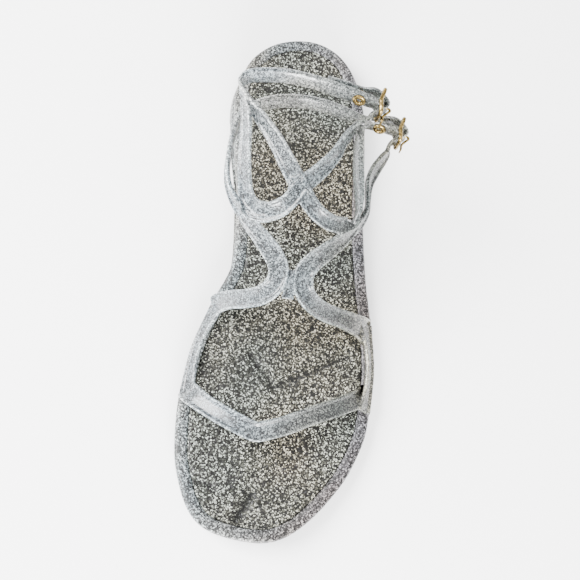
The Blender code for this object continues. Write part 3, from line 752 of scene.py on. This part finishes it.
def buckle_rows(bar, carrier, tip, width):
    """The strap through its buckle: under the front wire, over the bar, under the back wire,
    and its tip laid along the outside of the strap that carries the buckle."""
    start, forward, _, out = buckle_frame(bar)
    reach = BUCKLE_LENGTH / 2
    rows = []
    for share, height in ((1.02, UNDER_FRONT), (0.27, OVER), (-0.27, OVER), (-1.02, UNDER)):
        rows.append((start + forward * reach * share + out * height, 0, width, TIP_THICK))
    clear = STRAP_THICK / 2 + EYELET_FLANGE + 3 * CLEAR + TIP_THICK / 2
    first = reach + TIP_START
    for share, wide in ((0.0, 1.0), (0.5, 0.98), (1.0, 0.85)):
        spot, way, face = spot_before_end(carrier, first + (tip - first) * share)
        right = Vector((-way.y, way.x, 0)).normalized()
        lean = math.degrees(math.atan2(face.z, face.dot(right)))
        rows.append((spot + face * clear, lean, width * wide, TIP_THICK))
    return rows


def carrier_rows(table, bar):
    """An ankle strap that ends in the loop round its buckle's bar."""
    return strap_rows(table, STRAP_WIDTH) + [(place(*bar), 180, STRAP_WIDTH, STRAP_THICK)]


def front_rows(table, bar, carrier, tip):
    """The strap that comes from the front and goes through the buckle."""
    return strap_rows(table, STRAP_WIDTH) + buckle_rows(bar, carrier, tip, STRAP_WIDTH * TIP_SHARE)


def bar_loop(body, bar):
    """The strap's folded end round a buckle's bar."""
    start, forward, up, _ = buckle_frame(bar)
    half = up * (STRAP_WIDTH / 2 + CLEAR)
    path = [start - half + half * 2 * k / 8 for k in range(9)]
    rod(body, path, LOOP_RADIUS, 20, forward)


def melt(thing):
    """Makes one skin of the crossing straps, with soft fillets where they meet."""
    remesh = thing.modifiers.new("melt", "REMESH")
    remesh.mode = "VOXEL"
    remesh.voxel_size = 0.0004
    remesh.use_smooth_shade = True
    soften = thing.modifiers.new("soften", "SMOOTH")
    soften.factor = 0.5
    soften.iterations = 2
    thin = thing.modifiers.new("thin", "DECIMATE")
    thin.ratio = 0.55
    bpy.context.view_layer.objects.active = thing
    for step in ("melt", "soften", "thin"):
        bpy.ops.object.modifier_apply(modifier=step)


def trim_to_sole(thing):
    """Lays whatever hangs below the rim on it, and keeps the straps' feet inside the sole's edge."""
    for vertex in thing.data.vertices:
        along = along_of(vertex.co.y - SHIFT.y)
        floor = rim_top(along) + 0.00002
        inner, outer = half_widths(along)
        x = vertex.co.x - SHIFT.x
        rise = vertex.co.z - floor
        if 0.4 < along < 0.8 and rise < FOOT_HEIGHT:
            spare = 0.0001 + max(0.0, rise - 0.0015) * 0.8
            vertex.co.x = min(max(x, -inner - spare), outer + spare) + SHIFT.x
        if rise < 0:
            vertex.co.z = floor


def track_shares(points, track):
    """For points near a strap: whether it holds them, and how much of the painted highlight along its
    edges each has.
    """
    gaps = points[:, None, :] - track[None, :, :3]
    rows = track[(gaps**2).sum(axis=2).argmin(axis=1)]
    gap = points - rows[:, :3]
    sideways = np.abs((gap * rows[:, 3:6]).sum(axis=1))
    rise = (gap * rows[:, 6:9]).sum(axis=1)
    across = sideways / rows[:, 9]
    beyond = np.sqrt(np.maximum((gap**2).sum(axis=1) - sideways**2 - rise**2, 0))
    held = (across < 1.2) & (np.abs(rise) < STRAP_THICK) & (beyond < 0.002)
    outward = np.clip(rise / 0.0004 + 0.5, 0, 1)
    inward = np.clip(-rise / 0.0008, 0, 1)
    share = np.clip((across - EDGE_START) / EDGE_FADE, 0, 1) * outward
    return held, np.maximum(share, INSIDE_SHARE * inward)


def mark_edge_highlights(thing, tracks):
    """Marks how much painted highlight each point of the upper gets: 0 in the middle of a strap, 1 on
    its edge.
    """
    unmarked = 2.0
    batch = 4000
    points = np.empty(len(thing.data.vertices) * 3)
    thing.data.vertices.foreach_get("co", points)
    points = points.reshape(-1, 3)
    marks = np.full(len(points), unmarked)
    for track in tracks:
        low = track[:, :3].min(axis=0) - 0.006
        high = track[:, :3].max(axis=0) + 0.006
        chosen = np.nonzero(np.all((points > low) & (points < high), axis=1))[0]
        for part in np.array_split(chosen, max(1, len(chosen) // batch)):
            held, share = track_shares(points[part], track)
            marks[part[held]] = np.minimum(marks[part[held]], share[held])
    marks[marks == unmarked] = JOIN_SHARE
    write_edge_marks(thing, marks)


def make_upper(carriers):
    """All the straps, melted into one moulding."""
    body = bmesh.new()
    tracks = [
        strap(body, rows)
        for rows in (
            strap_rows(INNER_BAND, BAND_WIDTH), strap_rows(OUTER_BAND, BAND_WIDTH),
            strap_rows(TOE_STRAP, BAND_WIDTH), rail_rows(-1), rail_rows(1),
            strap_rows(INNER_U, STRAP_WIDTH), strap_rows(OUTER_U, STRAP_WIDTH),
            *carriers,
            front_rows(FRONT_STRAP_A, BAR_A, carriers[0], TIP_LENGTH_A),
            front_rows(FRONT_STRAP_B, BAR_B, carriers[1], TIP_LENGTH_B),
            strap_rows(INNER_OVAL, STRAP_WIDTH), strap_rows(OUTER_OVAL, STRAP_WIDTH),
        )
    ]
    tracks.append(strap(body, strap_rows(WEB, WEB_WIDTH, WEB_THICK), edged=False))
    bar_loop(body, BAR_A)
    bar_loop(body, BAR_B)
    thing = add("upper_moulded", body)
    melt(thing)
    trim_to_sole(thing)
    mark_edge_highlights(thing, tracks)
    return thing


# Metal
def make_buckle(name, bar):
    """A bowed wire frame with rounded corners and a centre bar."""
    start, forward, up, out = buckle_frame(bar)
    half_long = BUCKLE_LENGTH / 2
    half_high = STRAP_WIDTH / 2 + WIRE_RADIUS + 3 * CLEAR
    corner = 2 * WIRE_RADIUS
    flats = [
        (half_long, half_high - corner), (half_long - corner, half_high),
        (half_long * 0.35, half_high), (0.0, half_high), (-half_long * 0.35, half_high),
        (corner - half_long, half_high), (-half_long, half_high - corner),
    ]
    flats += [(x, -z) for x, z in flats[::-1]]
    path = []
    for x, z in flats:
        bow = BUCKLE_BOW * abs(x / half_long) * (1.0 if x < 0 else FRONT_SHARE)
        path.append(start + forward * x + up * z + out * bow)
    body = bmesh.new()
    rod(body, smooth_path(path, True), WIRE_RADIUS * 1.15, 14, out, closed=True)
    rod(body, [start - up * half_high, start, start + up * half_high], WIRE_RADIUS * 0.95, 14, forward)
    return add(name, body)


def prong_radius(share):
    """The prong's radius, tapered over the last fifth of its length."""
    return PRONG_RADIUS * (1.0 if share < 0.8 else 1.0 - 0.55 * (share - 0.8) / 0.2)


def make_prong(name, bar):
    """A prong on a sleeve round the bar, out over the strap and down onto the front wire."""
    start, forward, up, out = buckle_frame(bar)
    inside = WIRE_RADIUS + 0.0001
    outside = inside + 0.0007
    half = SLEEVE_LENGTH / 2
    round_off = 0.0002
    profile = [
        (inside, -half), (outside - round_off, -half), (outside, round_off - half),
        (outside, half - round_off), (outside - round_off, half), (inside, half),
    ]
    body = bmesh.new()
    turned(body, profile, start, up, 28)
    high = OVER + TIP_THICK / 2 + PRONG_RADIUS + 2 * CLEAR
    rest = BUCKLE_BOW * FRONT_SHARE + WIRE_RADIUS + CLEAR + PRONG_RADIUS
    front = BUCKLE_LENGTH / 2
    steps = [
        # forward, out
        (0.0004, inside + 0.0003),
        (0.0009, LOOP_RADIUS + 0.0006),
        (0.0013, high - 0.0006),
        (0.0022, high),
        (front * 0.60, high * 0.65 + rest * 0.35),
        (front, rest + 0.0001),
        ((front + PRONG_LENGTH) * 0.5, rest - 0.0001),
        (PRONG_LENGTH, rest - 0.0008),
    ]
    path = [start + forward * ahead + out * height for ahead, height in steps]
    rod(body, smooth_path(path, False), prong_radius, 14, up)
    return add(name, body)


def make_eyelet(name, rows):
    """A flanged ring through the strap, with rolled rims."""
    spot, _, face = spot_before_end(rows, EYELET_BACK)
    low = STRAP_THICK / 2 - 0.0002
    high = STRAP_THICK / 2 + CLEAR + EYELET_FLANGE
    inner = EYELET_HOLE
    rim = EYELET_RADIUS
    half = [
        (inner, 0.0), (inner, high * 0.80), (inner + 0.0003, high * 0.95), (rim * 0.62, high),
        (rim * 0.82, high * 0.95), (rim * 0.96, high * 0.86), (rim, high * 0.72), (rim * 0.95, low),
        (inner + 0.0007, low),
    ]
    body = bmesh.new()
    turned(body, half + [(r, -h) for r, h in half[::-1][:-1]], spot, face, 40)
    return add(name, body)


# Materials
def new_look(name):
    """A new material with its node tree and its shader."""
    finish = bpy.data.materials.new(name)
    finish.use_nodes = True
    return finish, finish.node_tree, finish.node_tree.nodes["Principled BSDF"]


def ramp(tree, stops, value):
    """A colour for each value, from stops of (share, colour)."""
    node = tree.nodes.new("ShaderNodeValToRGB")
    for element, (share, tone) in zip(node.color_ramp.elements, (stops[0], stops[-1])):
        element.position = share
        element.color = (*tone, 1)
    for share, tone in stops[1:-1]:
        node.color_ramp.elements.new(share).color = (*tone, 1)
    tree.links.new(value, node.inputs["Fac"])
    return node.outputs["Color"]


def stretch(tree, value, source, result):
    """Maps one range of a value to another, and stops at its ends."""
    node = tree.nodes.new("ShaderNodeMapRange")
    for socket, number in zip(("From Min", "From Max", "To Min", "To Max"), (*source, *result)):
        node.inputs[socket].default_value = number
    tree.links.new(value, node.inputs["Value"])
    return node.outputs["Result"]


def noise(tree, spot, scale, detail):
    """Soft cloudy noise, scale lumps to a metre."""
    node = tree.nodes.new("ShaderNodeTexNoise")
    node.inputs["Scale"].default_value = scale
    node.inputs["Detail"].default_value = detail
    tree.links.new(spot, node.inputs["Vector"])
    return node.outputs["Fac"]


def mix(tree, first, second, share=None):
    """Fades from one colour to another by a share, or multiplies the two where no share is given."""
    node = tree.nodes.new("ShaderNodeMix")
    node.data_type = "RGBA"
    if share is None:
        node.blend_type = "MULTIPLY"
        node.inputs["Factor"].default_value = 1.0
    else:
        tree.links.new(share, node.inputs["Factor"])
    tree.links.new(first, node.inputs["A"])
    tree.links.new(second, node.inputs["B"])
    return node.outputs["Result"]


def vector_step(tree, operation, first, second=None, scale=None):
    """One step of vector arithmetic. second is an output or three numbers, scale an output or one."""
    node = tree.nodes.new("ShaderNodeVectorMath")
    node.operation = operation
    tree.links.new(first, node.inputs[0])
    for key, value in ((1, second), ("Scale", scale)):
        if isinstance(value, bpy.types.NodeSocket):
            tree.links.new(value, node.inputs[key])
        elif value is not None:
            node.inputs[key].default_value = value
    return node.outputs["Vector"]


def leaning_flakes(tree, colour, tilt):
    """Surface normals that give each flake its own lean, taken from its random colour."""
    centre = (0.5, 0.5, 0.5)
    facing = vector_step(tree, "SUBTRACT", colour, centre)
    lean = vector_step(tree, "SCALE", facing, scale=tilt)
    surface = tree.nodes.new("ShaderNodeNewGeometry").outputs["Normal"]
    return vector_step(tree, "NORMALIZE", vector_step(tree, "ADD", surface, lean))


def glitter(name, tones, sides, tilt, coat, line_and_highlight_tones=None, through=0.0):
    """Soft plastic full of flakes. tones are (share, colour), and so are the tones laid over them
    where the attribute edge is set: on the straps a painted highlight along the edges and on the inner
    side, on the footbed the dark lines, of which the toe line is a painted dark reflection. sides tint
    the inner side, the outer side and what stands outside the sole; on the rim and the straps these
    tints are painted light and shade. tilt is how much the flakes lean, and through how much light
    goes through between the edges."""
    finish, tree, shader = new_look(name)
    spot = tree.nodes.new("ShaderNodeTexCoord").outputs["Object"]
    flakes = tree.nodes.new("ShaderNodeTexVoronoi")
    flakes.inputs["Scale"].default_value = 1 / FLAKE
    tree.links.new(spot, flakes.inputs["Vector"])
    parts = tree.nodes.new("ShaderNodeSeparateColor")
    tree.links.new(flakes.outputs["Color"], parts.inputs["Color"])
    colour = ramp(tree, tones, parts.outputs["Red"])
    # On the straps these tones are a painted highlight on the edges and the inner side; on the footbed
    # they darken the lines, the toe line as a painted dark reflection
    if line_and_highlight_tones:
        edge = tree.nodes.new("ShaderNodeAttribute")
        edge.attribute_name = "edge"
        colour = mix(tree, colour, ramp(tree, line_and_highlight_tones, parts.outputs["Red"]), edge.outputs["Fac"])
    if through:
        clear = stretch(tree, edge.outputs["Fac"], (0.0, 1.0), (through, through * 0.4))
        tree.links.new(clear, shader.inputs["Transmission Weight"])
    # Slow drifts of tone, as the flakes settle unevenly in the mould
    drift = stretch(tree, noise(tree, spot, 45.0, 2.0), (0.3, 0.7), (0.86, 1.10))
    colour = vector_step(tree, "SCALE", colour, scale=drift)
    # Warmer and cooler patches
    colour = mix(tree, colour, ramp(tree, PATCH_TINTS, noise(tree, spot, 24.0, 1.0)))
    # Painted light and shade across the shoe: lighter and bluer toward the inner side where the key
    # light falls, darker, greyer and warmer toward the outer side in shade, and on the straps a
    # painted warm reflection of the gold past the outer side
    across = tree.nodes.new("ShaderNodeSeparateXYZ")
    tree.links.new(spot, across.inputs["Vector"])
    side = stretch(tree, across.outputs["X"], (-0.035, 0.045), (0.0, 1.0))
    colour = mix(tree, colour, ramp(tree, list(zip(SIDE_SHARES, sides)), side))
    tree.links.new(colour, shader.inputs["Base Color"])
    tree.links.new(leaning_flakes(tree, flakes.outputs["Color"], tilt), shader.inputs["Normal"])
    rough = stretch(tree, parts.outputs["Green"], (0.0, 1.0), (0.26, 0.52))
    tree.links.new(rough, shader.inputs["Roughness"])
    shader.inputs["Specular IOR Level"].default_value = 0.5
    shader.inputs["Coat Weight"].default_value = coat
    shader.inputs["Coat Roughness"].default_value = 0.22
    shader.inputs["IOR"].default_value = 1.30
    return finish


def gold():
    """Pale plated gold, unevenly worn."""
    finish, tree, shader = new_look("pale_gold")
    wear = noise(tree, tree.nodes.new("ShaderNodeTexCoord").outputs["Object"], 900.0, 3.0)
    tree.links.new(ramp(tree, GOLD_TONES, wear), shader.inputs["Base Color"])
    rough = stretch(tree, wear, (0.0, 1.0), (0.14, 0.34))
    tree.links.new(rough, shader.inputs["Roughness"])
    shader.inputs["Metallic"].default_value = 1.0
    return finish


# Tones are (share, colour): the share of flakes up to that colour
BED_TONES = [
    (0.0, (0.001, 0.001, 0.001)),
    (0.48, (0.003, 0.003, 0.002)),
    (0.64, (0.022, 0.021, 0.018)),
    (0.79, (0.080, 0.079, 0.067)),
    (1.0, (0.52, 0.52, 0.47)),
]
# Dark tones of the footbed's lines; at the toe line they are a painted dark reflection
LINE_TONES = [
    (0.0, (0.0005, 0.0005, 0.0005)),
    (0.8, (0.001, 0.001, 0.001)),
    (1.0, (0.014, 0.014, 0.012)),
]
RIM_TONES = [
    (0.0, (0.003, 0.003, 0.003)),
    (0.32, (0.012, 0.012, 0.012)),
    (0.50, (0.045, 0.045, 0.045)),
    (0.70, (0.105, 0.105, 0.108)),
    (1.0, (0.48, 0.48, 0.48)),
]
STRAP_TONES = [
    (0.0, (0.004, 0.004, 0.005)),
    (0.30, (0.022, 0.024, 0.027)),
    (0.58, (0.10, 0.107, 0.12)),
    (1.0, (0.56, 0.58, 0.62)),
]
# Painted highlight: the pale tone laid on the straps' raised edges, their inner side and the fillets
EDGE_HIGHLIGHT_TONES = [
    (0.0, (0.018, 0.019, 0.021)),
    (0.38, (0.11, 0.116, 0.125)),
    (0.7, (0.34, 0.35, 0.37)),
    (1.0, (0.84, 0.86, 0.89)),
]
GOLD_TONES = [
    (0.35, (0.065, 0.044, 0.013)),
    (0.65, (0.40, 0.285, 0.105)),
]
PATCH_TINTS = [
    (0.35, (0.88, 0.97, 1.0)),
    (0.50, (0.96, 0.98, 0.95)),
    (0.65, (1.0, 0.93, 0.82)),
]
# Tints of the inner side, the outer side and what stands outside the sole. On the rim and the straps
# they are painted light and shade: a lighter, bluer inner side where the key light falls, a darker
# outer side in shade, and on the straps a painted warm reflection of the gold buckles outside the
# sole.
SIDE_SHARES = (0.1, 0.8, 1.0)
RIM_SIDE_LIGHT_AND_SHADE = ((0.96, 1.0, 1.0), (0.62, 0.57, 0.61), (0.60, 0.56, 0.59))
BED_SIDES = ((0.98, 0.96, 0.93), (0.98, 0.98, 0.95), (0.98, 0.98, 0.95))
STRAP_SIDE_LIGHT_AND_SHADE = ((0.96, 1.0, 1.0), (0.27, 0.29, 0.255), (0.78, 0.74, 0.60))
# The flakes' size, in metres
FLAKE = 0.0005


def dress(piece, node, look):
    """Gives a piece its material, hangs it on the root body, and hides the node that it stands for."""
    piece.data.materials.append(look)
    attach(piece, "root")
    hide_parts(node)


carriers = [carrier_rows(ANKLE_STRAP_A, BAR_A), carrier_rows(ANKLE_STRAP_B, BAR_B)]
outsole = make_outsole()
footbed = make_insole()
upper = make_upper(carriers)
metal = []
for letter, bar, rows in zip("ab", (BAR_A, BAR_B), carriers):
    metal.append((make_buckle("buckle_wire_" + letter, bar), "buckle_frame_" + letter))
    metal.append((make_prong("prong_pin_" + letter, bar), "buckle_prong_" + letter))
    metal.append((make_eyelet("eyelet_ring_" + letter, rows), "eyelet_" + letter))

sole_look = glitter("glitter_sole", RIM_TONES, RIM_SIDE_LIGHT_AND_SHADE, 0.55, 0.25)
footbed_look = glitter("glitter_footbed", BED_TONES, BED_SIDES, 0.55, 0.08, LINE_TONES)
strap_look = glitter("glitter_straps", STRAP_TONES, STRAP_SIDE_LIGHT_AND_SHADE, 0.30, 0.9, EDGE_HIGHLIGHT_TONES, 0.5)
gold_look = gold()
dress(outsole, "outsole", sole_look)
dress(footbed, "insole", footbed_look)
dress(upper, "upper", strap_look)
for piece, node in metal:
    dress(piece, node, gold_look)


# Floor, light and camera
def make_floor():
    bpy.ops.mesh.primitive_plane_add(size=6.0, location=(0, 0, 0))
    floor = bpy.context.object
    floor.name = "floor"
    finish, _, shader = new_look("pale_floor")
    shader.inputs["Base Color"].default_value = (0.93, 0.93, 0.93, 1)
    shader.inputs["Roughness"].default_value = 0.9
    floor.data.materials.append(finish)


def light_room(strength):
    world = bpy.data.worlds.new("studio")
    bpy.context.scene.world = world
    world.use_nodes = True
    background = world.node_tree.nodes["Background"]
    background.inputs["Color"].default_value = (1.0, 1.0, 1.0, 1)
    background.inputs["Strength"].default_value = strength


def soft_light(name, spot, target, size, power):
    lamp = bpy.data.lights.new(name, "AREA")
    lamp.shape = "SQUARE"
    lamp.size = size
    lamp.energy = power
    thing = bpy.data.objects.new(name, lamp)
    bpy.context.collection.objects.link(thing)
    thing.location = spot
    thing.rotation_euler = (Vector(target) - Vector(spot)).to_track_quat("-Z", "Y").to_euler()


def set_camera(eye, target, level, lens):
    """Looks from eye to target, turned so that the direction level runs along the picture's width."""
    back = (eye - target).normalized()
    right = (level - back * level.dot(back)).normalized()
    upward = back.cross(right)
    shot = bpy.data.cameras.new("camera")
    shot.lens = lens
    shot.sensor_width = 36
    shot.clip_start = 0.01
    camera = bpy.data.objects.new("camera", shot)
    bpy.context.collection.objects.link(camera)
    camera.matrix_world = Matrix.Translation(eye) @ Matrix((right, upward, back)).transposed().to_4x4()
    bpy.context.scene.camera = camera


make_floor()
light_room(1.9)
soft_light("key", (-0.9, 0.1, 0.9), (0, 0, 0.03), 0.8, 80)
soft_light("front", (0.15, -1.15, 0.40), (0, 0.03, 0.04), 0.60, 90)
# The photograph's viewpoint: its place above the shoe, turned to face this shoe alone
EYE = Vector((-0.0394, -0.1330, 0.4293))
TARGET = Vector((0.003, -0.010, 0.020))
PHOTO_RIGHT = Vector((0.98577, 0.15975, -0.05235))
set_camera(EYE + SHIFT, TARGET + SHIFT, PHOTO_RIGHT, 58.0)
